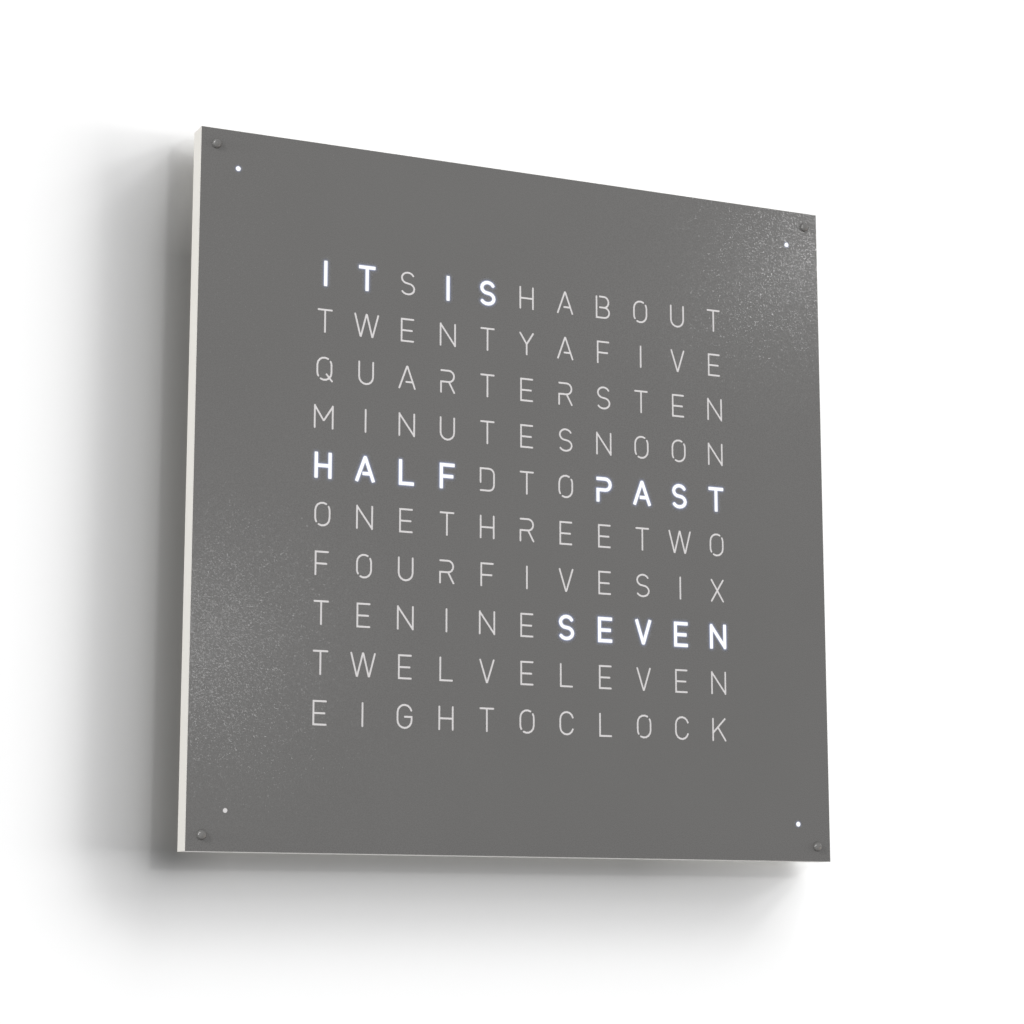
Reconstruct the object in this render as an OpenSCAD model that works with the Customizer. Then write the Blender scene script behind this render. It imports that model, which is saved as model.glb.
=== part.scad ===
// Word clock for a wall: a stencilled steel face held by magnets on a shallow lamp case.
// X runs to the right, Y into the wall and Z up. The origin is the middle of the wall plane.
// Places along the thickness are depths: how far a face stands out from the wall, along -Y.

/* [Face] */
// Side of the square face plate
face_side = 450; // [440:2:480]
// Thickness of the face plate
face_t = 1; // [0.6:0.1:1.2]
// How far the front of the face stands out from the wall
face_depth = 20; // [20:0.5:24]
// Thickness of the opal sheet behind the face
backing_t = 0.8; // [0.5:0.1:1]

/* [Letters] */
// Distance between letter columns
col_pitch = 28.2; // [26:0.2:29]
// Distance between letter rows
row_pitch = 31; // [28:0.5:32]
// Height of a capital, between the middles of its strokes
cap_h = 14.4; // [12.8:0.4:16]
// Width of a stroke
stroke_w = 1.25; // [1:0.05:1.5]

/* [Corners] */
// Distance of a minute dot from the edge of the face
dot_inset = 24.5; // [24:0.5:30]
// Diameter of a minute dot
dot_d = 2.9; // [2:0.1:4]
// Distance of a stud from the edge of the face
stud_inset = 10; // [9.5:0.1:10.5]
// Diameter of a stud's dome
stud_d = 6.5; // [5:0.1:7.5]

/* [Case] */
// Thickness of the case's side walls
wall_t = 4; // [3:0.2:4]
// Gap between the case's sides and the wall it hangs on
wall_gap = 5; // [4:0.5:5]
// Thickness of the rear cover
cover_t = 1.5; // [1.2:0.1:1.8]

/* [Buttons] */
// Height of the middle button above the centre
button_z = 90; // [60:5:120]
// Distance between buttons
button_pitch = 20; // [14:1:24]
// Diameter of a button
button_d = 4.8; // [4:0.2:5]
// How far a button stands out of the case's side
button_out = 0.8; // [0.4:0.1:1.5]

/* [Hanging] */
// Distance between the two keyholes
hanger_pitch = 300; // [240:10:320]
// Diameter of the hole that a wall screw's head enters
keyhole_d = 10; // [9:0.5:11]
// Width of the keyhole's slot
keyhole_slot = 5.2; // [4.6:0.1:5.4]

/* [Hidden] */
$fn = 48;
over = 0.5; // how far a cut runs past the face it opens

face_half = face_side / 2;
face_back = face_depth - face_t;
backing_back = face_back - backing_t;

// The words of the dial, one row of eleven letters to a string.
WORDS = [
    "ITSISHABOUT",
    "TWENTYAFIVE",
    "QUARTERSTEN",
    "MINUTESNOON",
    "HALFDTOPAST",
    "ONETHREETWO",
    "FOURFIVESIX",
    "TENINESEVEN",
    "TWELVELEVEN",
    "EIGHTOCLOCK"
];
rows = len(WORDS);
cols = len(WORDS[0]);
corners = [for (x = [-1, 1], z = [-1, 1]) [x, z]];
sides = [[1, 0], [0, 1], [-1, 0], [0, -1]];
dot_at = face_half - dot_inset;
stud_at = face_half - stud_inset;
dot_sink = 0.1; // how far the dots' discs lie below the front of the face
stud_shank_r = 2;
stud_collar_r = 3.8;
stud_end = face_back - 3; // depth of the stud's flat end
backing_half = face_half - wall_t - 0.6;
backing_hole_r = stud_collar_r + 0.4;

inner_half = face_half - wall_t; // inside of the case's sides
post = 14.5; // side of a corner post and length of a boss
post_front = backing_back - 0.2;
boss_w = 12;
boss_front = face_depth - 6;
magnet_r = 4;
magnet_h = 4;
magnet_front = stud_end - 0.5;
pocket_r = magnet_r + 0.05;
cover_front = wall_gap + cover_t; // front of the rear cover's flange
screw_r = 1.5;
screw_head_r = 2.75;
screw_head_h = 1.8;
cover_screw_at = face_half - 14;
cover_screw_end = face_depth - 9.5; // depth that the rear screws reach
pan_half = face_half - 25; // half the side of the rear cover's pan
flange_half = inner_half - 0.3;

board_t = 1.6;
lamp_board_half = inner_half - post - 1;
lamp_board_front = face_depth - 8.5;
lamp_board_back = lamp_board_front - board_t;
grid_wall = 1.2;
grid_front = backing_back - 0.2;
tube_r = 4.8;
tube_bore_r = 3.6;
lamp_w = 3.5;
lamp_h = 1.4;
standoff_r = 3;
standoff_at = pan_half - 15;
standoff_places = [for (x = [-1, 0, 1], z = [-1, 0, 1]) if (x != 0 || z != 0) [x, z] * standoff_at];
standoff_bore_end = 4;

control_x = 0; // middle of the controller board
control_z = -85;
control_w = 100;
control_h = 70;
control_back = cover_t + 2;
control_front = control_back + board_t;
control_hole = 5; // distance of a fixing hole from the board's edges
small_screw_r = 1.1;
small_head_r = 2.1;
small_head_h = 1.3;
cell_r = 10;
cell_t = 3.2;
battery_place = [-28, -68];
holder_base = 0.8;
ribbon_t = 0.8;
header_h = 2.4;
header_w = 14;
header_l = 5;
lamp_ribbon_x = 38;
lamp_ribbon_ends = [-87.5, -37.5]; // the two headers' middles, along Z
button_ribbon_x = 150;

hanger_z = 165;
hanger_places = [[-hanger_pitch / 2, hanger_z], [hanger_pitch / 2, hanger_z]];
window = [20, 36]; // opening of the rear cover behind a keyhole
hanger_size = [30, 46];
hanger_t = 1.5;
keyhole_low = -7; // middle of the head's hole below the plate's middle
keyhole_top = 7;
hanger_front = cover_t + hanger_t;
hanger_cover_wall = 1;
hanger_cover_front = hanger_front + 6;
rivet_r = 1.2;
rivet_head_r = 1.6;
rivet_head_h = 0.8;
rivet_at = [13, 21];

grommet_z = -150;
grommet_bore_r = 2.6;
grommet_neck_r = 5;
grommet_flange_r = 8;
grommet_front = cover_t + 2;

button_depth = 12.5;
button_hole_r = button_d / 2 + 0.3;
button_collar_r = 3.6;
button_collar_t = 1.2;
button_collar_gap = 0.2;
button_plunger_r = 1.7;
button_plunger_l = 1.2;
switch_w = 6;
switch_h = 3.5;
switch_pin_r = 1.7;
switch_pin_h = 0.8;
button_places = [1, 0, -1] * button_pitch;
button_board_h = 2 * button_pitch + 20;
button_board_x = inner_half - 7.9; // outer face of the buttons' board
bracket_t = 2.5;
bracket_w = 9;

// ---- Placing ----

// Extrudes a flat shape, drawn in X and Z, between two depths.
module slab(back, front) {
    rotate([90, 0, 0])
        translate([0, 0, back])
            linear_extrude(front - back) children();
}

module at_each(places) {
    for (p = places) translate(p) children();
}

// A flat shape drawn in Y and Z, extruded along X.
module along_x(low, high) {
    translate([low, 0, 0])
        rotate([90, 0, 90])
            linear_extrude(high - low) children();
}

// A rod along X, from x = low to x = high, at one of the buttons.
module button_rod(r, low, high) {
    translate([low, -button_depth, 0])
        rotate([0, 90, 0]) cylinder(r = r, h = high - low);
}

module square_ring(outer, inner) {
    difference() {
        square(2 * outer, center = true);
        square(2 * inner, center = true);
    }
}

// A pan-head screw whose head lies on a face at depth seat, and points to the wall (-1) or away.
module screw(r, head_r, head_h, seat, way, length) {
    slab(way > 0 ? seat - length : seat, way > 0 ? seat : seat + length) circle(r);
    slab(way > 0 ? seat : seat - head_h, way > 0 ? seat + head_h : seat) circle(head_r);
}

// ---- Strokes and letters ----

function unit(v) = v / norm(v);
function side(v) = [-v.y, v.x];
// Direction of a path into and out of its point i.
function into(p, i) = unit(p[max(i, 1)] - p[max(i, 1) - 1]);
function out_of(p, i) = unit(p[min(i, len(p) - 2) + 1] - p[min(i, len(p) - 2)]);
// The way from a path's point to the edge of a stroke of half width 1, square to it or mitred.
function lean(p, i) =
    let (m = unit(side(into(p, i)) + side(out_of(p, i))))
    m / (m * side(into(p, i)));
// A stroke's round end, as the points between its two sides.
function round_end(p, ahead, r) = [for (t = [40, -40]) p + r * (cos(t) * ahead + sin(t) * side(ahead))];
// The closed outline of a stroke of half width r along a path, with a round or flat start and end.
function outline(p, r, round_start = false, round_finish = false) =
    let (last = len(p) - 1)
    concat(
        [for (i = [0:last]) p[i] + r * lean(p, i)],
        round_finish ? round_end(p[last], out_of(p, last), r) : [],
        [for (i = [last:-1:0]) p[i] - r * lean(p, i)],
        round_start ? round_end(p[0], -into(p, 0), r) : []
    );

// A stroke is its path and whether its start and its end are round.
function free(p) = [p, true, true];
function branch(p) = [p, false, true]; // it starts inside another stroke
function tie(p) = [p, false, false]; // both of its ends lie inside other strokes

function arc(c, rx, rz, from, to) =
    let (n = max(2, round(abs(to - from) / arc_step)))
    [for (i = [0:n]) let (a = from + (to - from) * i / n) c + [rx * cos(a), rz * sin(a)]];

H = cap_h / 2; // a capital runs from -H to H
bar_z = -0.2; // height of a middle bar
narrow = 4.1; // half widths of the capitals
middle = 4.6;
wide = 4.75;
diagonal = 5.1;
apex = 0.15; // how far two strokes that meet in a point end from each other's middle
arc_step = 22.5; // degrees of a round stroke to one flat
tuck = 0.3; // how far a diagonal's end stays back from the end of the stem that it meets
bowl = 3.6; // radius of a rounded corner
bend = H - wide; // height of the middle of a round letter's end

function glyph(c) =
    c == "A" ? [free([[-5.4, -H], [-apex, H]]), free([[5.4, -H], [apex, H]]),
        branch([[3.9, -3], [-0.7, -3]])] :
    c == "B" ? [
        free(concat([[-wide, H], [-wide, -H]], arc([1.1, (bar_z - H) / 2], bowl, (H + bar_z) / 2, -90, 90),
            [[-2.4, bar_z]])),
        branch(concat(arc([0.9, (bar_z + H) / 2], 3.3, (H - bar_z) / 2, -80, 90), [[-2.4, H]]))
    ] :
    c == "C" ? [free(concat(arc([0, bend], middle, wide, 15, 180),
        arc([0, -bend], middle, wide, 180, 345)))] :
    c == "D" ? [free(concat([[-wide, -2], [-wide, H]], arc([wide - bowl, H - bowl], bowl, bowl, 90, 0),
        arc([wide - bowl, bowl - H], bowl, bowl, 0, -90), [[-wide, -H]]))] :
    c == "E" ? [free([[narrow, H], [-narrow, H], [-narrow, -H], [narrow, -H]]),
        branch([[-narrow, bar_z], [narrow - 0.9, bar_z]])] :
    c == "F" ? [free([[narrow, H], [-narrow, H], [-narrow, -H]]),
        branch([[-narrow, bar_z], [narrow - 0.9, bar_z]])] :
    c == "G" ? [free(concat(arc([0, bend], wide, wide, 15, 180), arc([0, -bend], wide, wide, 180, 360),
        [[wide, bar_z], [0.1, bar_z]]))] :
    c == "H" ? [free([[-middle, H], [-middle, -H]]), free([[middle, H], [middle, -H]]),
        tie([[-middle, bar_z], [middle, bar_z]])] :
    c == "I" ? [free([[0, H], [0, -H]])] :
    c == "K" ? [free([[-wide, H], [-wide, -H]]), branch([[-wide, -2.2], [4.3, H]]),
        branch([[-1.1, 1.6], [wide, -H]])] :
    c == "L" ? [free([[-narrow, H], [-narrow, -H], [narrow, -H]])] :
    c == "M" ? [free([[-6, H], [-6, -H]]), free([[6, H], [6, -H]]),
        branch([[-6, H - tuck], [-apex, -2.2]]), branch([[6, H - tuck], [apex, -2.2]])] :
    c == "N" ? [free([[-diagonal, H], [-diagonal, -H]]), free([[diagonal, H], [diagonal, -H]]),
        tie([[-diagonal, H - tuck], [diagonal, tuck - H]])] :
    c == "O" ? [free(concat(arc([0, bend], wide, wide, 58, 180), arc([0, -bend], wide, wide, 180, 212))),
        free(concat(arc([0, bend], wide, wide, 32, 0), arc([0, -bend], wide, wide, 0, -122)))] :
    c == "P" ? [free(concat([[-middle, H]], arc([0.9, (H + bar_z) / 2], bowl, (H - bar_z) / 2, 90, -90),
        [[-middle, bar_z], [-middle, -H]]))] :
    c == "Q" ? [free(concat(arc([0, bend], wide, wide, 58, 180), arc([0, -bend], wide, wide, 180, 212))),
        free(concat(arc([0, bend], wide, wide, 32, 0), arc([0, -bend], wide, wide, 0, -122))),
        free([[1.4, -3.4], [5.2, -H - 0.6]])] :
    c == "R" ? [free(concat([[-middle, H]], arc([0.9, (H + bar_z) / 2], bowl, (H - bar_z) / 2, 90, -90),
        [[-middle, bar_z], [-middle, -H]])), branch([[0.9, bar_z], [wide, -H]])] :
    c == "S" ? [free(concat(arc([0, H - bowl], 4.2, bowl, 25, 245),
        arc([0, bowl - H], 4.5, bowl, 65, -150)))] :
    c == "T" ? [free([[-middle, H], [middle, H]]), branch([[0, H], [0, -H]])] :
    c == "U" ? [free(concat([[-wide, H]], arc([0, -bend], wide, wide, 180, 360), [[wide, H]]))] :
    c == "V" ? [free([[-wide, H], [-apex, -H]]), free([[wide, H], [apex, -H]])] :
    c == "W" ? [for (x = [-1, 1]) each [free([[x * 7.9, H], [x * (4 + apex), -H]]),
        free([[x * apex, H], [x * (4 - apex), -H]])]] :
    c == "X" ? [free([[-4.45, H], [4.45, -H]]), free([[4.45, H], [-4.45, -H]])] :
    c == "Y" ? [free([[-wide, H], [-apex, 0]]), free([[wide, H], [apex, 0]]), branch([[0, 0.3], [0, -H]])] :
    [free([[-narrow, H], [narrow, H]]), free([[-narrow, -H], [narrow, -H]]),
        tie([[narrow - tuck, H], [tuck - narrow, -H]])];

module letter(c) {
    for (s = glyph(c)) polygon(outline(s[0], stroke_w / 2, s[1], s[2]));
}

function cell_place(row, col) = [(col - (cols - 1) / 2) * col_pitch, ((rows - 1) / 2 - row) * row_pitch];
cell_places = [for (row = [0:rows - 1], col = [0:cols - 1]) cell_place(row, col)];

module letters() {
    for (row = [0:rows - 1], col = [0:cols - 1])
        translate(cell_place(row, col)) letter(WORDS[row][col]);
}

// ---- Face ----

module face_plate() {
    color([0.45, 0.44, 0.43])
        slab(face_back, face_depth)
            difference() {
                square(face_side, center = true);
                letters();
                at_each(corners * dot_at) circle(d = dot_d);
                at_each(corners * stud_at) circle(stud_shank_r);
            }
}

module opal_backing() {
    color([0.93, 0.93, 0.92])
        slab(backing_back, face_back)
            difference() {
                square(2 * backing_half, center = true);
                at_each(corners * stud_at) circle(backing_hole_r);
            }
}

module minute_dots() {
    color([0.85, 0.84, 0.84])
        slab(face_back, face_depth - dot_sink) at_each(corners * dot_at) circle(d = dot_d);
}

module stud() {
    slab(face_back - over, face_depth) circle(stud_shank_r);
    slab(stud_end, face_back) circle(stud_collar_r);
    intersection() {
        translate([0, -face_depth, 0]) sphere(d = stud_d);
        slab(face_depth, face_depth + stud_d) square(2 * stud_d, center = true);
    }
}

module corner_studs() {
    color([0.8, 0.8, 0.82])
        for (p = corners * stud_at) translate([p.x, 0, p.y]) stud();
}

// ---- Case ----

module case_frame() {
    color([0.89, 0.88, 0.86])
        difference() {
            union() {
                slab(wall_gap, face_back) square_ring(face_half, inner_half);
                slab(cover_front, post_front)
                    at_each(corners * (inner_half - (post - over) / 2)) square(post + over, center = true);
                for (s = sides)
                    slab(cover_front, boss_front)
                        translate(s * (inner_half - (post - over) / 2))
                            square([for (v = s) v == 0 ? boss_w : post + over], center = true);
            }
            slab(magnet_front - magnet_h, post_front + over) at_each(corners * stud_at) circle(pocket_r);
            slab(cover_front - over, cover_screw_end)
                at_each(concat(corners, sides) * cover_screw_at) circle(screw_r);
            for (z = button_places) translate([0, 0, button_z + z])
                button_rod(button_hole_r, inner_half - over, face_half + over);
        }
}

module corner_magnets() {
    color([0.7, 0.7, 0.72])
        slab(magnet_front - magnet_h, magnet_front) at_each(corners * stud_at) circle(magnet_r);
}

module rear_cover() {
    color([0.88, 0.87, 0.85])
        difference() {
            union() {
                slab(0, cover_t) square(2 * pan_half, center = true);
                slab(0, cover_front) square_ring(pan_half, pan_half - cover_t);
                slab(wall_gap, cover_front) square_ring(flange_half, pan_half - cover_t);
            }
            slab(-over, cover_t + over) {
                at_each(hanger_places) square(window, center = true);
                at_each(hanger_places) at_each(rivet_corners()) circle(rivet_r);
                translate([0, grommet_z]) circle(grommet_neck_r);
            }
            slab(wall_gap - over, cover_front + over)
                at_each(concat(corners, sides) * cover_screw_at) circle(screw_r + 0.2);
            slab(wall_gap - over, cover_front + over) at_each(bracket_screw_places()) circle(small_screw_r);
        }
}

module cover_screws() {
    color([0.6, 0.6, 0.62])
        for (p = concat(corners, sides) * cover_screw_at) translate([p.x, 0, p.y])
            screw(screw_r, screw_head_r, screw_head_h, wall_gap, -1, cover_screw_end - wall_gap);
}

// ---- Hanging and cable entry ----

function rivet_corners() = [for (c = corners) [c.x * rivet_at.x, c.y * rivet_at.y]];

module keyhole() {
    translate([0, keyhole_low]) circle(d = keyhole_d);
    translate([0, keyhole_top]) circle(d = keyhole_slot);
    translate([-keyhole_slot / 2, keyhole_low]) square([keyhole_slot, keyhole_top - keyhole_low]);
}

module hanger_plates() {
    color([0.72, 0.72, 0.7])
        slab(cover_t, hanger_front) at_each(hanger_places)
            difference() {
                square(hanger_size, center = true);
                keyhole();
                at_each(rivet_corners()) circle(rivet_r);
            }
}

module hanger_rivets() {
    color([0.75, 0.75, 0.76]) {
        slab(0.2, hanger_front + over) at_each(hanger_places) at_each(rivet_corners()) circle(rivet_r);
        slab(hanger_front, hanger_front + rivet_head_h)
            at_each(hanger_places) at_each(rivet_corners()) circle(rivet_head_r);
    }
}

module hanger_covers() {
    color([0.2, 0.2, 0.2])
        for (p = hanger_places) translate([p.x, 0, p.y]) difference() {
            slab(hanger_front, hanger_cover_front)
                square([for (w = window) w + 2 * hanger_cover_wall], center = true);
            slab(hanger_front - over, hanger_cover_front - hanger_cover_wall) square(window, center = true);
        }
}

module cable_grommet() {
    color([0.1, 0.1, 0.1])
        translate([0, 0, grommet_z]) difference() {
            union() {
                slab(0, grommet_front) circle(grommet_neck_r);
                slab(cover_t, grommet_front) circle(grommet_flange_r);
            }
            slab(-over, grommet_front + over) circle(grommet_bore_r);
        }
}

// ---- Lamps ----

grid_half = [cols * col_pitch / 2, rows * row_pitch / 2];

module light_grid() {
    color([0.92, 0.92, 0.9])
        slab(lamp_board_front, grid_front)
            difference() {
                square([for (g = grid_half) 2 * g + grid_wall], center = true);
                at_each(cell_places) square([col_pitch - grid_wall, row_pitch - grid_wall], center = true);
            }
}

module dot_tubes() {
    color([0.92, 0.92, 0.9])
        slab(lamp_board_front, grid_front) at_each(corners * dot_at)
            difference() {
                circle(tube_r);
                circle(tube_bore_r);
            }
}

module lamp_board() {
    color([0.12, 0.3, 0.18])
        slab(lamp_board_back, lamp_board_front)
            difference() {
                square(2 * lamp_board_half, center = true);
                at_each(standoff_places) circle(screw_r + 0.2);
            }
}

module lamps() {
    color([0.95, 0.9, 0.6])
        slab(lamp_board_front, lamp_board_front + lamp_h)
            at_each(concat(cell_places, corners * dot_at)) square(lamp_w, center = true);
}

module board_standoffs() {
    color([0.8, 0.7, 0.4])
        difference() {
            slab(cover_t, lamp_board_back) at_each(standoff_places) circle(standoff_r);
            slab(standoff_bore_end, lamp_board_back + over) at_each(standoff_places) circle(screw_r);
        }
}

module board_screws() {
    color([0.6, 0.6, 0.62])
        for (p = standoff_places) translate([p.x, 0, p.y])
            screw(screw_r, screw_head_r, screw_head_h, lamp_board_front, 1,
                lamp_board_front - standoff_bore_end);
}

// ---- Controller ----

control_holes = [for (c = corners) [
    control_x + c.x * (control_w / 2 - control_hole),
    control_z + c.y * (control_h / 2 - control_hole)
]];

module controller_board() {
    color([0.1, 0.25, 0.4])
        slab(control_back, control_front)
            difference() {
                translate([control_x, control_z]) square([control_w, control_h], center = true);
                at_each(control_holes) circle(small_screw_r + 0.15);
            }
}

module controller_standoffs() {
    color([0.85, 0.85, 0.85])
        difference() {
            slab(cover_t, control_back) at_each(control_holes) circle(2.5);
            slab(cover_t + over, control_back + over) at_each(control_holes) circle(small_screw_r);
        }
}

module controller_screws() {
    color([0.6, 0.6, 0.62])
        for (p = control_holes) translate([p.x, 0, p.y])
            screw(small_screw_r, small_head_r, small_head_h, control_front, 1,
                control_front - cover_t - over);
}

// A chip with its two rows of legs.
module chip(place, size, height, legs, leg_pitch) {
    translate([place.x, 0, place.y]) {
        slab(control_front + 0.2, control_front + height) square(size, center = true);
        slab(control_front, control_front + height / 2)
            for (i = [0:legs - 1])
                translate([(i - (legs - 1) / 2) * leg_pitch, 0])
                    square([leg_pitch / 2, size.y + 2.4], center = true);
    }
}

module microcontroller() {
    color([0.12, 0.12, 0.13]) chip([0, -80], [12, 12], 1.8, 8, 1.3);
}

module driver_chips() {
    color([0.12, 0.12, 0.13])
        for (i = [0:3]) chip([-36 + i * 14, -104], [9, 4], 1.6, 6, 1.3);
}

module timing_crystal() {
    color([0.8, 0.8, 0.8])
        slab(control_front, control_front + 3.4) translate([14, -78]) {
            square([3.4, 6], center = true);
            at_each([[0, -3], [0, 3]]) circle(1.7);
        }
}

module capacitors() {
    color([0.3, 0.3, 0.35])
        for (i = [0:2]) translate([6 + i * 8, 0, -60]) {
            slab(control_front, control_front + 0.8) square(6.6, center = true);
            slab(control_front + 0.8, control_front + 4.2) circle(3.1);
        }
}

module power_terminal() {
    color([0.15, 0.4, 0.2])
        difference() {
            slab(control_front, control_front + 4.3) translate([32, -112]) square([11, 9], center = true);
            for (x = [-2.6, 2.6]) translate([32 + x, -control_front - 1.9, -116.6 - over])
                cylinder(r = 1.3, h = 6 + over);
        }
}

module cell_holder() {
    color([0.1, 0.1, 0.1])
        slab(control_front, control_front + holder_base) translate(battery_place) square(24, center = true);
    color([0.1, 0.1, 0.1])
        slab(control_front, control_front + holder_base + cell_t * 0.8) translate(battery_place)
            difference() {
                square(24, center = true);
                circle(cell_r + 0.2);
                translate([0, 12]) square([12, 10], center = true);
            }
}

module backup_cell() {
    color([0.8, 0.8, 0.8])
        slab(control_front + holder_base, control_front + holder_base + cell_t)
            translate(battery_place) circle(cell_r);
}

module ribbon_headers() {
    color([0.95, 0.95, 0.9]) {
        slab(control_front, control_front + header_h)
            translate([lamp_ribbon_x, lamp_ribbon_ends[0]]) square([header_w, header_l], center = true);
        slab(lamp_board_back - header_h, lamp_board_back) {
            translate([lamp_ribbon_x, lamp_ribbon_ends[1]]) square([header_w, header_l], center = true);
            translate([button_ribbon_x, button_z]) square([header_l, header_w], center = true);
        }
    }
}

module lamp_ribbon() {
    low = control_front + header_h / 2;
    high = lamp_board_back - header_h / 2;
    color([0.75, 0.75, 0.78])
        along_x(lamp_ribbon_x - 6, lamp_ribbon_x + 6)
            polygon(outline([
                [-low, lamp_ribbon_ends[0] + header_l / 2],
                [-low, lamp_ribbon_ends[0] + 16],
                [-high, lamp_ribbon_ends[1] - 16],
                [-high, lamp_ribbon_ends[1] - header_l / 2]
            ], ribbon_t / 2));
}

module button_ribbon() {
    flat = -lamp_board_back + header_h / 2;
    turn = lamp_board_half + 0.8;
    color([0.75, 0.75, 0.78])
        translate([0, 0, button_z - 4])
            linear_extrude(8)
                polygon(outline([
                    [button_ribbon_x + header_l / 2, flat],
                    [turn, flat],
                    [turn, -button_depth - 1],
                    [button_board_x - board_t, -button_depth - 1]
                ], ribbon_t / 2));
}

// ---- Buttons ----

function bracket_screw_places() = [for (s = [-1, 1])
    [button_board_x - 0.8, button_z + s * (button_board_h / 2 + 4)]];

module button_bracket() {
    color([0.15, 0.15, 0.15])
        difference() {
            slab(cover_front, cover_front + bracket_t)
                translate([button_board_x - 0.8, button_z])
                    square([bracket_w, button_board_h + 16], center = true);
            slab(cover_front + 1, cover_front + bracket_t + over)
                translate([button_board_x - board_t / 2, button_z])
                    square([board_t, button_board_h], center = true);
            slab(cover_front - over, cover_front + bracket_t + over)
                at_each(bracket_screw_places()) circle(small_screw_r + 0.15);
        }
}

module bracket_screws() {
    color([0.6, 0.6, 0.62])
        for (p = bracket_screw_places()) translate([p.x, 0, p.y])
            screw(small_screw_r, small_head_r, small_head_h, cover_front + bracket_t, 1,
                cover_t + bracket_t);
}

module button_board() {
    color([0.12, 0.3, 0.18])
        slab(cover_front + 1, button_depth + 5)
            translate([button_board_x - board_t / 2, button_z])
                square([board_t, button_board_h], center = true);
}

module button_switches() {
    color([0.2, 0.2, 0.22])
        for (z = button_places) translate([0, 0, button_z + z]) {
            along_x(button_board_x, button_board_x + switch_h)
                translate([-button_depth, 0]) square(switch_w, center = true);
            button_rod(switch_pin_r, button_board_x + switch_h - over,
                button_board_x + switch_h + switch_pin_h);
        }
}

module button(z) {
    collar = inner_half - button_collar_gap;
    edge = 0.3;
    tip = face_half + button_out;
    color([0.89, 0.88, 0.86])
        translate([0, 0, button_z + z]) {
            button_rod(button_plunger_r, collar - button_collar_t - button_plunger_l, collar);
            button_rod(button_collar_r, collar - button_collar_t, collar);
            button_rod(button_d / 2, collar - over, tip - edge);
            translate([tip - edge, -button_depth, 0])
                rotate([0, 90, 0]) cylinder(r1 = button_d / 2, r2 = button_d / 2 - edge, h = edge);
        }
}

module hour_button() {
    button(button_places[0]);
}

module minute_button() {
    button(button_places[1]);
}

module brightness_button() {
    button(button_places[2]);
}

face_plate();
opal_backing();
minute_dots();
corner_studs();
case_frame();
corner_magnets();
rear_cover();
cover_screws();
hanger_plates();
hanger_rivets();
hanger_covers();
cable_grommet();
light_grid();
dot_tubes();
lamp_board();
lamps();
board_standoffs();
board_screws();
controller_board();
controller_standoffs();
controller_screws();
microcontroller();
driver_chips();
timing_crystal();
capacitors();
power_terminal();
cell_holder();
backup_cell();
ribbon_headers();
lamp_ribbon();
button_ribbon();
button_bracket();
bracket_screws();
button_board();
button_switches();
hour_button();
minute_button();
brightness_button();
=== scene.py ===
"""Looks of the word clock: materials, letter fillings, glow, stage, lamps and camera.

Lengths are in metres, except where a comment says millimetres.
"""

import math

import bmesh
import bpy
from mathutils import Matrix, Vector
from mathutils.geometry import delaunay_2d_cdt


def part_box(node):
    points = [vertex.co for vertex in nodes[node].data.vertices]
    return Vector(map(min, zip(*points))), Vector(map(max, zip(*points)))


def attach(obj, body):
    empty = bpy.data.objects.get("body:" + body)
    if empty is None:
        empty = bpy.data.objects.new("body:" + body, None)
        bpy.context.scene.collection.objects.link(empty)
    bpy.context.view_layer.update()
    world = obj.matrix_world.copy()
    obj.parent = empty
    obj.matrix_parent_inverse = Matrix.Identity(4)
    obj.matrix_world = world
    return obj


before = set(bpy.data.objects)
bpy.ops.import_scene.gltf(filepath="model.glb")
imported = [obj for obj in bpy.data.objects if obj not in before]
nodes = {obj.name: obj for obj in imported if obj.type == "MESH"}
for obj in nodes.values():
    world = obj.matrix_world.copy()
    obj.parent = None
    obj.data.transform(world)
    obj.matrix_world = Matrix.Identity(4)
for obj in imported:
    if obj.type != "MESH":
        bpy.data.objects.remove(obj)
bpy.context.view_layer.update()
MM = 0.001

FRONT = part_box("face_plate")[0].y  # front of the face; the wall is at y = 0
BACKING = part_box("opal_backing")[0].y
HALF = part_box("face_plate")[1].x
COL_PITCH, ROW_PITCH = 28.2 * MM, 31 * MM
COLS, ROWS = 11, 10
LETTER_FIELD = 170 * MM  # every letter is nearer than this to the middle of the face, and no dot or stud is
LIT = {(0, 0), (0, 1), (0, 3), (0, 4), (4, 0), (4, 1), (4, 2), (4, 3), (4, 7), (4, 8), (4, 9), (4, 10),
       (7, 6), (7, 7), (7, 8), (7, 9), (7, 10)}  # row and column of each lit letter
DOT_AT = 200.5 * MM
DOT_R = 1.45 * MM
LIT_DOTS = [(-DOT_AT, DOT_AT), (DOT_AT, DOT_AT), (DOT_AT, -DOT_AT)]

FLAKE = 0.55 * MM  # how far apart the flakes in the face's coat are
FLAKE_TILT = 0.085  # a flake moves the normal by up to half of this along each axis
SMOOTH_FLAKES = 0.42  # how many of the flakes are smooth and sparkle most, from 0 to 1
SCATTER = 57  # makes a second random value out of a first, so that the two don't follow each other
TRACK_FIELD, TRACKS = 9 * MM, 9  # size of a field of tracks on a circuit board, and tracks to that length
HOLE_PITCH = 14 * MM
CORE_PITCH = 0.5 * MM  # of a flat cable's cores
LAMP_WINDOW = 2 * MM  # the lamps' colours are placed as shares of this distance
CONTROLLER_Z, CONTROLLER_HALF = -80 * MM, 6 * MM  # middle and half height of the moulded bodies
DRIVER_Z, DRIVER_HALF = -104 * MM, 2 * MM
CAPACITOR_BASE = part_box("controller_board")[0].y - 0.8 * MM  # behind it, a capacitor shows its black foot


# ---- Materials ----

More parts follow.
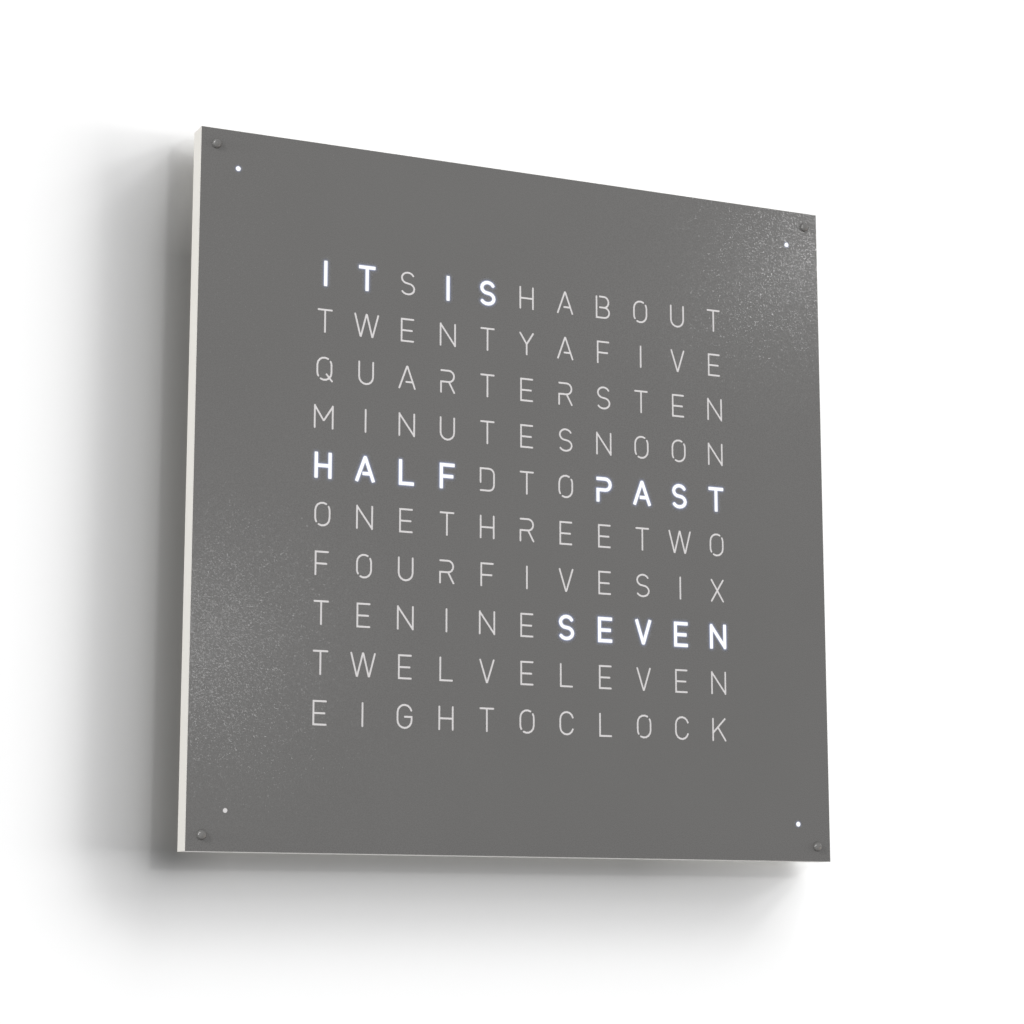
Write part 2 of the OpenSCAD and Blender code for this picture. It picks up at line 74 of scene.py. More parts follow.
class Material:
    """A node material with a Principled shader, whose plain values are set on the shader's own sockets."""

    def __init__(self, name, **values):
        self.data = bpy.data.materials.new(name)
        self.data.use_nodes = True
        self.tree = self.data.node_tree
        self.shader = self.tree.nodes["Principled BSDF"]
        self.coords = self.node("ShaderNodeTexCoord").outputs["Object"]
        for key, value in values.items():
            socket = self.shader.inputs[key.replace("_", " ")]
            socket.default_value = (*value, 1) if isinstance(value, tuple) else value

    def node(self, kind, **inputs):
        made = self.tree.nodes.new(kind)
        for key, value in inputs.items():
            self.feed(made.inputs[key.replace("_", " ")], value)
        return made

    def feed(self, socket, value):
        if isinstance(value, bpy.types.NodeSocket):
            self.tree.links.new(value, socket)
        else:
            socket.default_value = value

    def to(self, socket, value):
        self.tree.links.new(value, self.shader.inputs[socket])

    def maths(self, operation, *values, kind="ShaderNodeMath"):
        made = self.tree.nodes.new(kind)
        made.operation = operation
        for socket, value in zip(made.inputs, values):
            self.feed(socket, value)
        return made.outputs[0]

    def vectors(self, operation, *values):
        return self.maths(operation, *values, kind="ShaderNodeVectorMath")

    def axis(self, name):
        return self.node("ShaderNodeSeparateXYZ", Vector=self.coords).outputs[name]

    def noise(self, size, detail=2.0, rough=0.5, stretch=(1, 1, 1)):
        """Noise whose lumps are about size across, stretched along the axes; from 0 to 1."""
        place = self.node("ShaderNodeMapping", Vector=self.coords, Scale=tuple(1 / s for s in stretch))
        made = self.node("ShaderNodeTexNoise", Vector=place.outputs[0], Scale=1 / size, Detail=detail,
                         Roughness=rough)
        return made.outputs["Fac"]

    def cells(self, pitch, metric="EUCLIDEAN"):
        """Cells about pitch across. Color is random and one to a cell, and Distance runs from its middle."""
        made = self.node("ShaderNodeTexVoronoi", Vector=self.coords, Scale=1 / pitch)
        made.distance = metric
        return made.outputs

    def ramp(self, value, *stops):
        """Colours along a value: each stop is (place, (r, g, b))."""
        made = self.node("ShaderNodeValToRGB", Fac=value)
        points = made.color_ramp.elements
        while len(points) < len(stops):
            points.new(0.5)
        for point, (place, colour) in zip(points, stops):
            point.position = place
            point.color = (*colour, 1)
        return made.outputs["Color"]

    def shade(self, colour, amount, value):
        """The colour, lighter and darker by amount as the value goes from 0.3 to 0.7."""
        low, high = (tuple(c * (1 + s * amount) for c in colour) for s in (-1, 1))
        self.to("Base Color", self.ramp(value, (0.3, low), (0.7, high)))

    def span(self, value, low, high, start=0.3, end=0.7):
        """From low to high as the value goes from start to end."""
        made = self.node("ShaderNodeMapRange", Value=value)
        for key, number in (("From Min", start), ("From Max", end), ("To Min", low), ("To Max", high)):
            made.inputs[key].default_value = number
        return made.outputs[0]

    def mix(self, share, a, b):
        made = self.node("ShaderNodeMix", Factor=share)
        made.data_type = "RGBA"
        self.feed(made.inputs[6], a)
        self.feed(made.inputs[7], b)
        return made.outputs[2]

    def bump(self, height, distance, edge=0.0):
        """Fine relief, on edges that look rounded to the radius edge."""
        made = self.node("ShaderNodeBump", Height=height, Distance=distance)
        if edge:
            self.feed(made.inputs["Normal"], self.node("ShaderNodeBevel", Radius=edge).outputs[0])
        self.to("Normal", made.outputs[0])


def plastic(name, colour, roughness, grain=0.35 * MM, depth=6e-6, vary=0.02, edge=0.0):
    made = Material(name, Roughness=roughness, IOR=1.46)
    made.shade(colour, vary, made.noise(18 * MM))
    made.to("Roughness", made.span(made.noise(6 * MM), roughness - 0.04, roughness + 0.04))
    made.bump(made.noise(grain, 3), depth, edge)
    return made.data


def metal(name, colour, roughness, stretch=(1, 1, 1), depth=2e-6, vary=0.06, metallic=1.0):
    made = Material(name, Metallic=metallic)
    made.shade(colour, vary, made.noise(4 * MM, 3, stretch=stretch))
    patches = made.noise(2 * MM, 3, stretch=stretch)
    made.to("Roughness", made.span(patches, roughness - 0.05, roughness + 0.07))
    made.bump(made.noise(0.5 * MM, 2, stretch=stretch), depth)
    return made.data


def face_steel():
    """Grey coat with flakes that sparkle only where a lamp is near its mirror place. The cut edge is pale."""
    made = Material("face_steel", IOR=1.45)
    coat = made.ramp(made.noise(60 * MM), (0.3, (0.1225, 0.1200, 0.1170)), (0.7, (0.1255, 0.1230, 0.1200)))
    normal = made.node("ShaderNodeNewGeometry").outputs["Normal"]
    facing = made.maths("ABSOLUTE", made.node("ShaderNodeSeparateXYZ", Vector=normal).outputs["Y"])
    across, up = (made.maths("ABSOLUTE", made.axis(axis)) for axis in "XZ")
    outside = made.maths("GREATER_THAN", made.maths("MAXIMUM", across, up), HALF - 0.1 * MM)
    edge = made.maths("MULTIPLY", outside, made.maths("LESS_THAN", facing, 0.5))
    made.to("Base Color", made.mix(edge, coat, (0.70, 0.68, 0.64, 1)))
    flake = made.cells(FLAKE)["Color"]
    parts = made.node("ShaderNodeSeparateColor", Color=flake).outputs
    scattered = made.maths("FRACT", made.maths("MULTIPLY", parts["Red"], SCATTER))
    dull = made.maths("GREATER_THAN", scattered, SMOOTH_FLAKES)
    made.to("Roughness", made.span(dull, 0.14, 0.28, 0, 1))
    size = made.maths("MULTIPLY", made.maths("SQRT", parts["Green"]), FLAKE_TILT)
    size = made.maths("MULTIPLY", size, made.maths("GREATER_THAN", facing, 0.5))
    tilt = made.vectors("MULTIPLY", made.vectors("SUBTRACT", flake, (0.5, 0.5, 0.5)), size)
    made.to("Normal", made.vectors("NORMALIZE", made.vectors("ADD", normal, tilt)))
    return made.data


def circuit(name, resist, trace):
    """Solder resist over copper: broad fields, thin tracks and small plated holes, all under gloss."""
    made = Material(name, Roughness=0.28, IOR=1.5, Coat_Weight=0.3, Coat_Roughness=0.12)
    squares = made.cells(TRACK_FIELD, "CHEBYCHEV")["Distance"]
    tracks = made.maths("PINGPONG", made.maths("MULTIPLY", squares, TRACKS), 0.5)
    copper = made.maths("LESS_THAN", tracks, 0.14)
    pad = made.maths("LESS_THAN", made.cells(HOLE_PITCH)["Distance"], 0.035)
    field = made.mix(copper, (*resist, 1), (*trace, 1))
    made.to("Base Color", made.mix(pad, field, (0.62, 0.6, 0.52, 1)))
    made.bump(made.maths("ADD", copper, made.noise(0.3 * MM)), 15e-6)
    return made.data


def chip(name, centre_z, half):
    """Black moulded body; what reaches past it along Z is its tinned legs."""
    made = Material(name, Roughness=0.5)
    away = made.maths("ABSOLUTE", made.maths("SUBTRACT", made.axis("Z"), centre_z))
    legs = made.maths("GREATER_THAN", away, half + 0.01 * MM)
    body = made.ramp(made.noise(1.5 * MM, 3), (0.3, (0.014, 0.014, 0.015)), (0.7, (0.022, 0.022, 0.023)))
    made.to("Base Color", made.mix(legs, body, (0.66, 0.66, 0.64, 1)))
    made.to("Metallic", legs)
    made.to("Roughness", made.span(legs, 0.55, 0.3, 0, 1))
    made.bump(made.noise(0.12 * MM, 2), 8e-6)
    return made.data


def lamp_body():
    """A white package whose round window holds yellow phosphor."""
    made = Material("lamp", Roughness=0.35, IOR=1.48)

    def off(axis, pitch, count):
        """How far along this axis a place is from the middle of the nearest letter's or dot's lamp."""
        place = made.axis(axis)
        start = (count / 2 + 8) * pitch  # the 8 more pitches keep the sum above 0
        along = made.maths("MODULO", made.maths("ADD", place, start), pitch)
        cell = made.maths("ABSOLUTE", made.maths("SUBTRACT", along, pitch / 2))
        away = made.maths("ABSOLUTE", place)
        end = made.maths("ABSOLUTE", made.maths("SUBTRACT", away, DOT_AT))
        outer = made.maths("GREATER_THAN", away, DOT_AT - 3 * MM)
        return made.maths("ADD", made.maths("MULTIPLY", outer, end),
                          made.maths("MULTIPLY", made.maths("SUBTRACT", 1, outer), cell))
    x, z = off("X", COL_PITCH, COLS), off("Z", ROW_PITCH, ROWS)
    r = made.maths("SQRT", made.maths("ADD", made.maths("MULTIPLY", x, x), made.maths("MULTIPLY", z, z)))
    made.to("Base Color", made.ramp(made.maths("DIVIDE", r, LAMP_WINDOW), (0.58, (0.80, 0.62, 0.12)),
                                    (0.64, (0.82, 0.82, 0.80))))
    made.bump(made.noise(0.2 * MM), 5e-6)
    return made.data


def capacitor():
    """A drawn aluminium can on a black foot."""
    made = Material("capacitor", Roughness=0.35)
    base = made.maths("GREATER_THAN", made.axis("Y"), CAPACITOR_BASE)
    drawn = made.noise(1 * MM, 2, stretch=(6, 1, 6))
    can = made.ramp(drawn, (0.3, (0.52, 0.52, 0.53)), (0.7, (0.66, 0.66, 0.66)))
    made.to("Base Color", made.mix(base, can, (0.016, 0.016, 0.017, 1)))
    made.to("Metallic", made.maths("SUBTRACT", 1, base))
    made.bump(made.noise(0.3 * MM), 3e-6)
    return made.data


def ribbon(name, axis):
    """Flat cable: parallel cores under a grey skin, with one marked edge. The skin is painted darker in the
    grooves between the cores, as shade.
    """
    made = Material(name, Roughness=0.5, IOR=1.48)
    wave = made.maths("DIVIDE", made.maths("PINGPONG", made.axis(axis), CORE_PITCH), CORE_PITCH)
    # painted shade: the skin is darker where the wave is low, in the grooves between the cores
    skin = made.ramp(wave, (0.0, (0.30, 0.30, 0.32)), (0.35, (0.52, 0.52, 0.54)))
    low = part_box(name)[0][0 if axis == "X" else 2]
    mark = made.maths("LESS_THAN", made.axis(axis), low + 1.0 * MM)
    made.to("Base Color", made.mix(mark, skin, (0.45, 0.04, 0.03, 1)))
    made.bump(made.maths("SQRT", wave), 0.12 * MM)
    return made.data


opal = plastic("opal", (0.665, 0.645, 0.645), 0.42, 0.25 * MM, 3e-6, 0.012)
cream = plastic("case_cream", (0.715, 0.694, 0.645), 0.38, 0.3 * MM, 5e-6, 0.008, 0.4 * MM)
button_cream = plastic("button_cream", (0.70, 0.678, 0.63), 0.45, 0.2 * MM, 8e-6, 0.01, 0.3 * MM)
black = plastic("black_plastic", (0.022, 0.022, 0.024), 0.5, 0.3 * MM, 14e-6, 0.12, 0.3 * MM)
white = plastic("white_plastic", (0.79, 0.79, 0.77), 0.45, 0.4 * MM, 6e-6, 0.02)
rubber = plastic("grommet_rubber", (0.02, 0.02, 0.021), 0.72, 0.2 * MM, 10e-6, 0.15)
terminal = plastic("terminal_green", (0.03, 0.20, 0.075), 0.42, 0.25 * MM, 8e-6, 0.06)
zinc = metal("zinc_steel", (0.56, 0.57, 0.60), 0.32, vary=0.08)
rolled_zinc = metal("rolled_zinc", (0.55, 0.57, 0.60), 0.34, (1, 1, 14), vary=0.07)
nickel = metal("magnet_nickel", (0.60, 0.59, 0.57), 0.2, vary=0.03)
aluminium = metal("rivet_aluminium", (0.66, 0.66, 0.67), 0.36)
brass = metal("standoff_brass", (0.70, 0.52, 0.24), 0.28, (1, 8, 1))
polished = metal("polished_steel", (0.62, 0.62, 0.63), 0.12, depth=5e-7, vary=0.02)
stud_steel = metal("stud_steel", (0.122, 0.120, 0.117), 0.24, depth=2e-7, vary=0.03, metallic=0.1)

paint = {
    "face_plate": face_steel(), "opal_backing": opal, "minute_dots": opal, "corner_studs": stud_steel,
    "case_frame": cream, "rear_cover": cream, "corner_magnets": nickel, "hanger_plates": rolled_zinc,
    "hanger_rivets": aluminium, "hanger_covers": black, "cable_grommet": rubber,
    "light_grid": white, "dot_tubes": white, "board_standoffs": brass, "controller_standoffs": white,
    "lamp_board": circuit("lamp_circuit", (0.010, 0.085, 0.030), (0.016, 0.125, 0.045)),
    "button_board": circuit("button_circuit", (0.010, 0.085, 0.030), (0.016, 0.125, 0.045)),
    "controller_board": circuit("control_circuit", (0.008, 0.035, 0.125), (0.012, 0.055, 0.18)),
    "lamps": lamp_body(), "cover_screws": zinc, "board_screws": zinc, "controller_screws": zinc,
    "bracket_screws": zinc, "microcontroller": chip("microcontroller", CONTROLLER_Z, CONTROLLER_HALF),
    "driver_chips": chip("driver_chip", DRIVER_Z, DRIVER_HALF), "timing_crystal": polished,
    "capacitors": capacitor(), "power_terminal": terminal, "cell_holder": black,
    "backup_cell": polished, "ribbon_headers": white, "lamp_ribbon": ribbon("lamp_ribbon", "X"),
    "button_ribbon": ribbon("button_ribbon", "Z"), "button_bracket": black, "button_switches": black,
    "hour_button": button_cream, "minute_button": button_cream, "brightness_button": button_cream,
}
for name, node in nodes.items():
    node.data.materials.clear()
    node.data.materials.append(paint[name])


# ---- Pieces ----

INLAY_SINK = 0.1 * MM  # how far the letter fillings lie below the front of the face


def piece(name, bm, body, material):
    """Makes an object of this mesh, which moves with a body and takes its finish from a slot."""
    mesh = bpy.data.meshes.new(name)
    bmesh.ops.recalc_face_normals(bm, faces=bm.faces)
    bm.to_mesh(mesh)
    bm.free()
    made = bpy.data.objects.new(name, mesh)
    bpy.context.scene.collection.objects.link(made)
    mesh.materials.append(material)
    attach(made, body)
    return made


def openings():
    """The outlines of the openings in the face's front, each a list of (x, z) that runs anticlockwise."""
    bm = bmesh.new()
    bm.from_mesh(nodes["face_plate"].data)
    bmesh.ops.remove_doubles(bm, verts=bm.verts, dist=1e-6)
    front = {f for f in bm.faces if all(abs(v.co.y - FRONT) < 1e-6 for v in f.verts)}
    beside = {}
    for edge in bm.edges:
        if sum(f in front for f in edge.link_faces) == 1:
            a, b = edge.verts
            beside.setdefault(a, []).append(b)
            beside.setdefault(b, []).append(a)
    found = []
    while beside:
        start = next(iter(beside))
        loop, at = [start], beside[start][0]
        while at != start:
            loop.append(at)
            at = next(v for v in beside[at] if v != loop[-2])
        for v in loop:
            del beside[v]
        points = [(v.co.x, v.co.z) for v in loop]
        found.append(points if signed_area(points) > 0 else points[::-1])
    bm.free()
    return found


def signed_area(points):
    return sum(a[0] * b[1] - b[0] * a[1] for a, b in zip(points, points[1:] + points[:1])) / 2


def cell_of(points):
    """The row and column that an outline's middle lies in."""
    x, z = (sum(p[i] for p in points) / len(points) for i in (0, 1))
    return round((ROWS - 1) / 2 - z / ROW_PITCH), round(x / COL_PITCH + (COLS - 1) / 2)


letters = {}
for points in openings():
    if max(max(abs(x), abs(z)) for x, z in points) < LETTER_FIELD:
        letters.setdefault(cell_of(points), []).append(points)


def fillings(cells):
    """The pale filling of these letters, a little below the front of the face."""
    bm = bmesh.new()
    for points in (loop for cell in cells for loop in letters[cell]):
        rings = [[bm.verts.new((x, y, z)) for x, z in points] for y in (FRONT + INLAY_SINK, BACKING)]
        bm.faces.new(rings[0])
        bm.faces.new(rings[1][::-1])
        for i in range(len(points)):
            bm.faces.new((rings[0][i - 1], rings[1][i - 1], rings[1][i], rings[0][i]))
    return bm


piece("letter_inlays", fillings(sorted(set(letters) - LIT)), "face", opal)
piece("lit_letter_inlays", fillings(sorted(LIT)), "face", opal)


# ---- Glow of the lit letters and dots, and the painted glow film round them. All lengths here are in millimetres. ----

LETTER_REACH, DOT_REACH = 0.45, 0.1  # how much wider than the stroke or the dot the white core is, all round; this widening is painted glow
# How far outside the core each level of the painted glow film round it lies, and how much of the film shows
# there.
HALO = [(-0.05, 0.75), (0.25, 0.42), (0.6, 0.13), (1.2, 0.045), (2.6, 0.0)]
CORE_DEPTHS, HALO_DEPTHS = (0.05, 0.01), (0.035, 0.015)  # front and back, in front of the face
HALO_STEP = 0.6  # how far apart the film's points are at most, along a side of an outline
ARC_SIDE = 1.5  # an outline's sides up to this length are parts of its round stretches
STROKE_MOST = 1.4  # two sides that run opposite ways up to this far apart are those of one stroke
LETTER_SPREAD, DOT_SPREAD = 1, 0.6  # how much of HALO's distances the film of a letter or a dot has
UNDER_CORE = 0.1  # how far in under the core's edge the film goes
LEAST_TURN = 0.05  # in radians; only corners that turn more than this have a fan of the film's points
SLACK = 0.02  # how much nearer to a stroke than it should be a point of the film may lie
SHARPEST = 0.6  # where two sides turn more sharply than this share allows, a corner is widened in the round


def ring(centre, r, count=12):
    return [(centre[0] + r * math.cos(math.tau * i / count), centre[1] + r * math.sin(math.tau * i / count))
            for i in range(count)]


def widened(loops, reach):
    """The triangles of these outlines' union, widened by reach, with sharp corners and square stroke ends."""
    points, faces = [], []

    def add(outline):
        faces.append(list(range(len(points), len(points) + len(outline))))
        points.extend(Vector(p) for p in outline)
    for loop in loops:
        add(loop)
        sides = []
        for a, b in zip(loop, loop[1:] + loop[:1]):
            a, b = Vector(a), Vector(b)
            along = (b - a).normalized() * reach
            sides.append((a, b, Vector((along.y, -along.x))))
        for i, (a, b, out) in enumerate(sides):
            before = sides[i - 1][2]
            add([a, a + out, b + out, b])
            if before.x * out.y > before.y * out.x:  # the outline turns outwards here
                share = 1 + before.dot(out) / reach ** 2
                point = [a, a + before, a + (before + out) / share, a + out]
                add(point if share > SHARPEST else ring(a, reach))
        straight = [side for side in sides if (side[1] - side[0]).length > ARC_SIDE]
        for (_, b, out), (a, _, back) in zip(straight, straight[1:] + straight[:1]):
            width = (a - b).length
            opposite = out.dot(back) < -0.99 * reach ** 2
            if opposite and width < STROKE_MOST:  # a stroke ends between these two sides
                past = Vector((-out.y, out.x)) * (1 + width / 2 / reach)
                add([b + out, b + out + past, a + back + past, a + back])
    verts, _, tris, _, _, origins = delaunay_2d_cdt(points, [], faces, 0, 1e-5)
    return verts, [t for t, o in zip(tris, origins) if o]


def gap(point, loops):
    """How far a point is outside these outlines, or 0 inside them."""
    best, inside = 1e9, False
    px, py = point
    for loop in loops:
        for (ax, ay), (bx, by) in zip(loop, loop[1:] + loop[:1]):
            dx, dy = bx - ax, by - ay
            t = max(0.0, min(1.0, ((px - ax) * dx + (py - ay) * dy) / (dx * dx + dy * dy)))
            best = min(best, math.hypot(px - ax - t * dx, py - ay - t * dy))
            if (ay > py) != (by > py) and px < ax + (py - ay) / (by - ay) * dx:
                inside = not inside
    return 0.0 if inside else best


def halo_points(loops, reach):
    """Points along each outline at one distance from it, clear of what other strokes cover."""
    kept = []
    for loop in loops:
        for i, a in enumerate(loop):
            b = loop[(i + 1) % len(loop)]
            before = loop[i - 1]
            angle = math.atan2(b[1] - a[1], b[0] - a[0]) - math.pi / 2
            turned = (angle - math.atan2(a[1] - before[1], a[0] - before[0]) + math.pi / 2) % math.tau
            around = [angle - turned * k / 4 for k in range(5)] if LEAST_TURN < turned < math.pi else [angle]
            kept += [(a[0] + reach * math.cos(w), a[1] + reach * math.sin(w)) for w in around]
            steps = int(math.dist(a, b) / HALO_STEP)
            kept += [(a[0] + (b[0] - a[0]) * k / (steps + 1) + reach * math.cos(angle),
                      a[1] + (b[1] - a[1]) * k / (steps + 1) + reach * math.sin(angle))
                     for k in range(1, steps + 1)]
    return [p for p in kept if gap(p, loops) > reach - SLACK]


def slab(bm, points, tris, front, back):
    """Adds a closed flat film between two depths, and returns the numbers of the points that it uses."""
    used = sorted({i for t in tris for i in t})
    layers = [{i: bm.verts.new((points[i].x * MM, FRONT - depth * MM, points[i].y * MM)) for i in used}
              for depth in (front, back)]
    sides = {(a, b) for t in tris for a, b in zip(t, t[1:] + t[:1])}
    for t in tris:
        bm.faces.new([layers[0][i] for i in t])
        bm.faces.new([layers[1][i] for i in reversed(t)])
    for a, b in sides:
        if (b, a) not in sides:
            bm.faces.new((layers[0][b], layers[0][a], layers[1][a], layers[1][b]))
    return used


def glow_film(name, groups, spread):
    """A white core over each lit shape and a film round it that fades out, both painted glow where they reach
    past the shape. Each group is (loops, reach).

    Both are closed, so the film is seen through twice, and each of its two sides shows its share of the glow.
    """
    core, halo, shares = bmesh.new(), bmesh.new(), []
    for loops, reach in groups:
        loops = [[(x / MM, z / MM) for x, z in loop] for loop in loops]
        verts, tris = widened(loops, reach)
        slab(core, verts, [list(t) for t in tris], *CORE_DEPTHS)
        points, share = [], []
        for off, level in HALO:
            found = halo_points(loops, reach + off * spread)
            points += [Vector(p) for p in found]
            share += [1 - math.sqrt(1 - level)] * len(found)
        verts, _, tris, origins, _, _ = delaunay_2d_cdt(points, [], [], 0, 1e-4)
        level = [share[o[0]] for o in origins]
        kept = []
        for t in tris:
            middle = sum((verts[i] for i in t), Vector((0, 0))) / 3
            if max(level[i] for i in t) > 0 and gap(middle, loops) > reach - UNDER_CORE:
                kept.append(list(t))
        shares += [level[i] for i in slab(halo, verts, kept, *HALO_DEPTHS)] * 2
    piece(name + "_core", core, "face", core_light)
    film = piece(name + "_halo", halo, "face", painted_halo_light)
    level = film.data.attributes.new("glow", "FLOAT", "POINT")
    level.data.foreach_set("value", shares)


def light(name, colour, strength, share=None):
    """A surface that shines, all of it or as much as the attribute named by share says."""
    data = bpy.data.materials.new(name)
    data.use_nodes = True
    tree = data.node_tree
    tree.nodes.remove(tree.nodes["Principled BSDF"])
    glow = tree.nodes.new("ShaderNodeEmission")
    glow.inputs["Color"].default_value = (*colour, 1)
    glow.inputs["Strength"].default_value = strength
    result = glow.outputs[0]
    if share:
        attribute = tree.nodes.new("ShaderNodeAttribute")
        attribute.attribute_name = share
        mix = tree.nodes.new("ShaderNodeMixShader")
        tree.links.new(attribute.outputs["Fac"], mix.inputs[0])
        tree.links.new(tree.nodes.new("ShaderNodeBsdfTransparent").outputs[0], mix.inputs[1])
        tree.links.new(result, mix.inputs[2])
        result = mix.outputs[0]
    tree.links.new(result, tree.nodes["Material Output"].inputs["Surface"])
    return data


core_light = light("lit_core", (1.0, 1.0, 1.0), 1.1)
# painted glow: the halo film shines over the grey face round the lit letters and dots, as the light's bloom
painted_halo_light = light("lit_halo", (0.60, 0.68, 1.0), 0.95, "glow")
glow_film("lit_letters", [(letters[cell], LETTER_REACH) for cell in sorted(LIT)], LETTER_SPREAD)
glow_film("lit_dots", [([ring(place, DOT_R, 32)], DOT_REACH) for place in LIT_DOTS], DOT_SPREAD)


# ---- Stage ----

WALL_Y, FLOOR_Z, STAGE = 0.0004, -1.5, 30  # the stage reaches this far to each side, up and forward
WALL_WHITE, FLOOR_WHITE = 0.9, 0.6
LEFT_SHADOW_REACH, FOOT_SHADOW_REACH = 18.5 * MM, 14 * MM  # how far the shadow painted on the wall next to the clock's left side and foot reaches
LEFT_SHADOW_DARK, FOOT_SHADOW_DARK = 0.70, 0.40  # how much of the wall's colour the painted shadow takes away there, at most
FLOOR_SHINE = 0.5


def sheet(name, corners, material):
    mesh = bpy.data.meshes.new(name)
    mesh.from_pydata(corners, [], [(0, 1, 2, 3)])
    made = bpy.data.objects.new(name, mesh)
    bpy.context.scene.collection.objects.link(made)
    mesh.materials.append(material)
    return made


def near(made, axis, reach):
    """1 up to the clock's left side or foot, and fading out past it over reach: the spread of the painted
    shadow on the wall.
    """
    off = made.maths("MAXIMUM", made.maths("SUBTRACT", -HALF, made.axis(axis)), 0)
    off = made.maths("DIVIDE", off, reach)
    return made.maths("EXPONENT", made.maths("MULTIPLY", made.maths("MULTIPLY", off, off), -1))


def one_sided(name, level, painted_shadow=False, **values):
    """Pale to the camera from its front, and not there for other rays, so that nothing is in its shade.

    With the flag set, a shadow is painted into its colour close to the clock's left side and foot, but not
    towards its top and right.
    """
    made = Material(name, Base_Color=(level, level, level), Roughness=1.0, Specular_IOR_Level=0.0, **values)
    if painted_shadow:
        # painted shadow: the wall's own colour is darkened beside the clock's left side and foot, fading out
        # with distance
        depth = made.span(made.axis("X"), LEFT_SHADOW_DARK, FOOT_SHADOW_DARK, -HALF - 20 * MM, -HALF + 35 * MM)
        top = made.span(made.axis("Z"), 1, 0, HALF - 80 * MM, HALF + 10 * MM)
        right = made.span(made.axis("X"), 1, 0, HALF - 138 * MM, HALF - 38 * MM)
        for part in (near(made, "X", LEFT_SHADOW_REACH), near(made, "Z", FOOT_SHADOW_REACH), top, right):
            depth = made.maths("MULTIPLY", depth, part)
        made.to("Base Color", made.mix(depth, (level, level, level, 1), (0, 0, 0, 1)))
    path = made.node("ShaderNodeLightPath")
    back = made.node("ShaderNodeNewGeometry").outputs["Backfacing"]
    shown = made.maths("MULTIPLY", path.outputs["Is Camera Ray"], made.maths("SUBTRACT", 1, back))
    mix = made.node("ShaderNodeMixShader")
    made.feed(mix.inputs[0], shown)
    made.feed(mix.inputs[1], made.node("ShaderNodeBsdfTransparent").outputs[0])
    made.feed(mix.inputs[2], made.shader.outputs[0])
    made.feed(made.tree.nodes["Material Output"].inputs["Surface"], mix.outputs[0])
    return made.data


wall = sheet("wall", [(-STAGE, WALL_Y, FLOOR_Z), (STAGE, WALL_Y, FLOOR_Z), (STAGE, WALL_Y, STAGE),
                      (-STAGE, WALL_Y, STAGE)], one_sided("wall_white", WALL_WHITE, True))
floor_white = one_sided("floor_white", FLOOR_WHITE, Emission_Color=(1, 1, 1), Emission_Strength=FLOOR_SHINE)
sheet("floor", [(-STAGE, -STAGE, FLOOR_Z), (STAGE, -STAGE, FLOOR_Z), (STAGE, STAGE, FLOOR_Z),
                (-STAGE, STAGE, FLOOR_Z)], floor_white)

world = bpy.data.worlds.new("studio")
bpy.context.scene.world = world
world.use_nodes = True
tree = world.node_tree
path = tree.nodes.new("ShaderNodeLightPath")
seen = path.outputs["Is Camera Ray"]
for other in ("Is Glossy Ray", "Is Transmission Ray"):
    either = tree.nodes.new("ShaderNodeMath")
    either.operation = "MAXIMUM"
    tree.links.new(seen, either.inputs[0])
    tree.links.new(path.outputs[other], either.inputs[1])
    seen = either.outputs[0]
strength = tree.nodes.new("ShaderNodeMapRange")
tree.links.new(seen, strength.inputs["Value"])
strength.inputs["To Min"].default_value = 0.33  # light on matt surfaces
strength.inputs["To Max"].default_value = 1.0  # what the camera and gloss see
tree.links.new(strength.outputs[0], tree.nodes["Background"].inputs["Strength"])
tree.nodes["Background"].inputs["Color"].default_value = (1, 1, 1, 1)


# ---- Lamps ----

SUN_HEIGHT, SUN_SPREAD = 14.4, 6.5  # of the low suns, in degrees
SUNS = ((2, 0.138), (15, 0.08), (28, 0.155), (44, 0.145), (57, 0.065), (70, 0.07))  # turn and level of each
GLINT_AWAY = 1.7


def group(name, state, *members):
    """What a lamp lights alone, or what it leaves out."""
    made = bpy.data.collections.new(name)
    for member in members:
        made.objects.link(member)
    for link in made.collection_objects:
        link.light_linking.link_state = state
    return made


ON_WALL, NOT_WALL = group("on_wall", "INCLUDE", wall), group("not_wall", "EXCLUDE", wall)
ON_PLATE = group("on_plate", "INCLUDE", nodes["face_plate"])
NOT_PLATE = group("not_plate", "EXCLUDE", wall, nodes["face_plate"])
ON_STUDS = group("on_studs", "INCLUDE", nodes["corner_studs"])


def lamp(name, kind, place, target, linked, mirrored, **values):
    """Mirrored tells whether glossy surfaces show the lamp itself."""
    data = bpy.data.lights.new(name, kind)
    for key, value in values.items():
        setattr(data, key, value)
    made = bpy.data.objects.new(name, data)
    bpy.context.scene.collection.objects.link(made)
    made.location = place
    made.rotation_euler = (Vector(target) - Vector(place)).to_track_quat("-Z", "Y").to_euler()
    made.light_linking.receiver_collection = linked
    made.visible_glossy = mirrored


def soft(name, place, target, size, level, mirrored=False, linked=NOT_WALL, **values):
    """A lamp that lights a white sheet at target, square to it, to this level."""
    power = level * math.pi ** 2 * (Vector(target) - Vector(place)).length_squared
    lamp(name, "AREA", place, target, linked, mirrored, energy=power, size=size, **values)


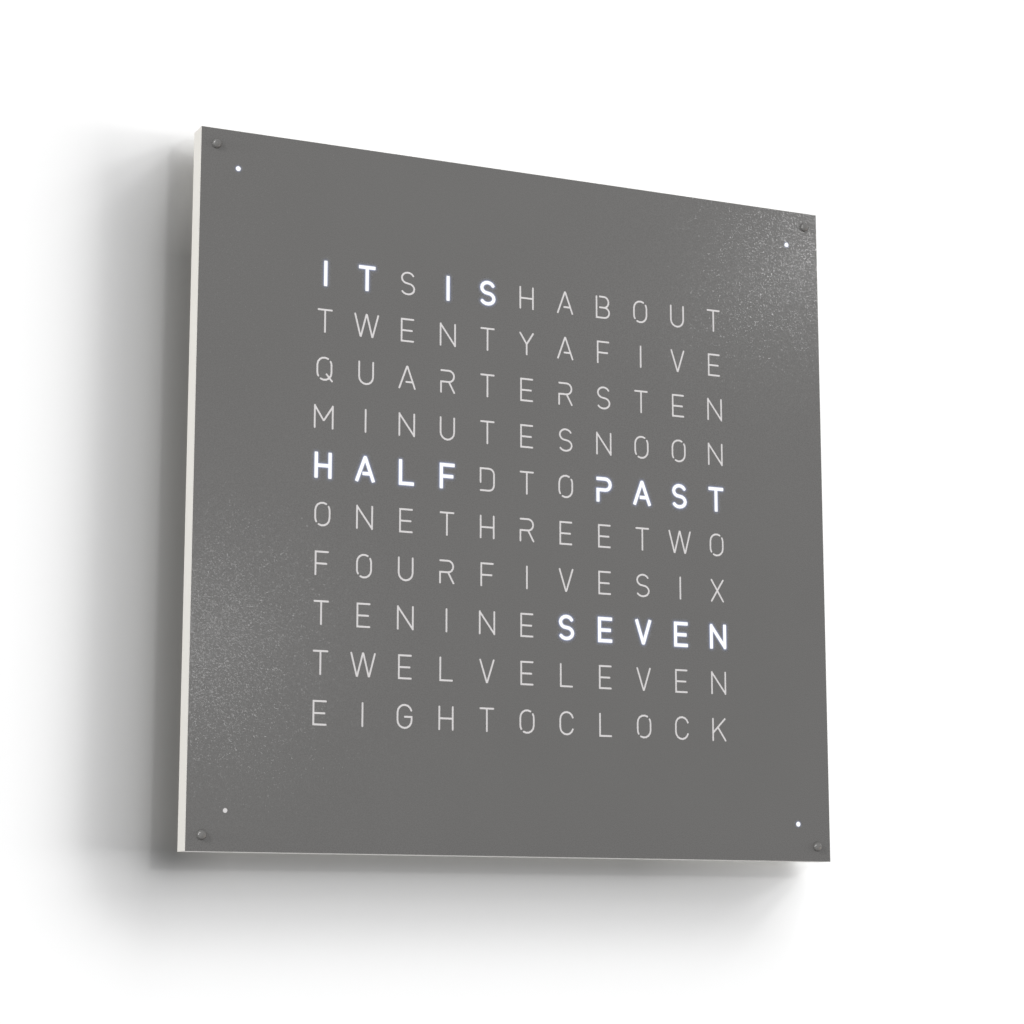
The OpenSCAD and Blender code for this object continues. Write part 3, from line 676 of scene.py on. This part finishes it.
def low_sun(name, height, turn, spread, level):
    """Lights the wall alone, from its upper right, for the shadow at the clock's left and foot.

    Height is the angle above the wall and turn the angle above the level, both in degrees.
    """
    h, t = math.radians(height), math.radians(turn)
    way = Vector((math.cos(h) * math.cos(t), -math.sin(h), math.cos(h) * math.sin(t)))
    lamp(name, "SUN", way * 3, (0, 0, 0), ON_WALL, False, energy=level * math.pi / (WALL_WHITE * math.sin(h)),
         angle=math.radians(2 * spread))


for turn, level in SUNS:
    low_sun("wall_sun_%d" % turn, SUN_HEIGHT, turn, SUN_SPREAD, level)
low_sun("wall_sun_steep", 48, 35, 3, 0.083)

soft("key", (0.2, -4.2, 1.6), (0, 0, 0), 1.4, 0.46)
for name, place, level in (("left_far", (-3.6, -0.5, 0.1), 0.37), ("left_near", (-2.9, -1.5, 1.7), 0.42)):
    soft(name, place, (-HALF, 0, 0), 0.5, level, True, NOT_PLATE)
    soft(name + "_plate", place, (-HALF, 0, 0), 0.5, level, False, ON_PLATE)
soft("stud_warm", (1.2, -0.6, -0.9), (0, 0, 0), 1.0, 0.14, True, ON_STUDS, color=(1.0, 0.72, 0.5))
soft("stud_fill", (-1.4, -1.6, -1.6), (0, 0, 0), 1.0, 0.3, False, ON_STUDS)
soft("right_fill", (2.2, -0.5, 0.3), (HALF, 0, 0), 1.2, 0.5)
soft("back_fill", (0.6, 2.2, 0.8), (0, 0, 0), 1.6, 0.55)

CAMERA = Vector((-0.666005, -1.424710, -0.279528))
LOOK_UP, LOOK_RIGHT = 10.063, 25.0115  # in degrees
LENS, SENSOR = 85.63, 36  # in millimetres


def glint(name, place, radius, level):
    """A small lamp whose mirror place on the face, seen from the photograph's side, is at place."""
    from_camera = (Vector(place) - CAMERA).normalized()
    way = Vector((from_camera.x, -from_camera.y, from_camera.z))
    soft(name, Vector(place) + way * GLINT_AWAY, place, 2 * radius, level, True, shape="DISK")


glint("glint_right", (0.226, FRONT, 0.195), 0.04, 0.0215)
glint("glint_left", (-0.230, FRONT, -0.100), 0.08, 0.0205)

eye = bpy.data.objects.new("camera", bpy.data.cameras.new("camera"))
bpy.context.scene.collection.objects.link(eye)
eye.location = CAMERA
eye.rotation_euler = (math.radians(90 + LOOK_UP), 0, math.radians(-LOOK_RIGHT))
eye.data.lens = LENS
eye.data.sensor_width = SENSOR
bpy.context.scene.camera = eye
bpy.context.scene.view_settings.view_transform = "Standard"
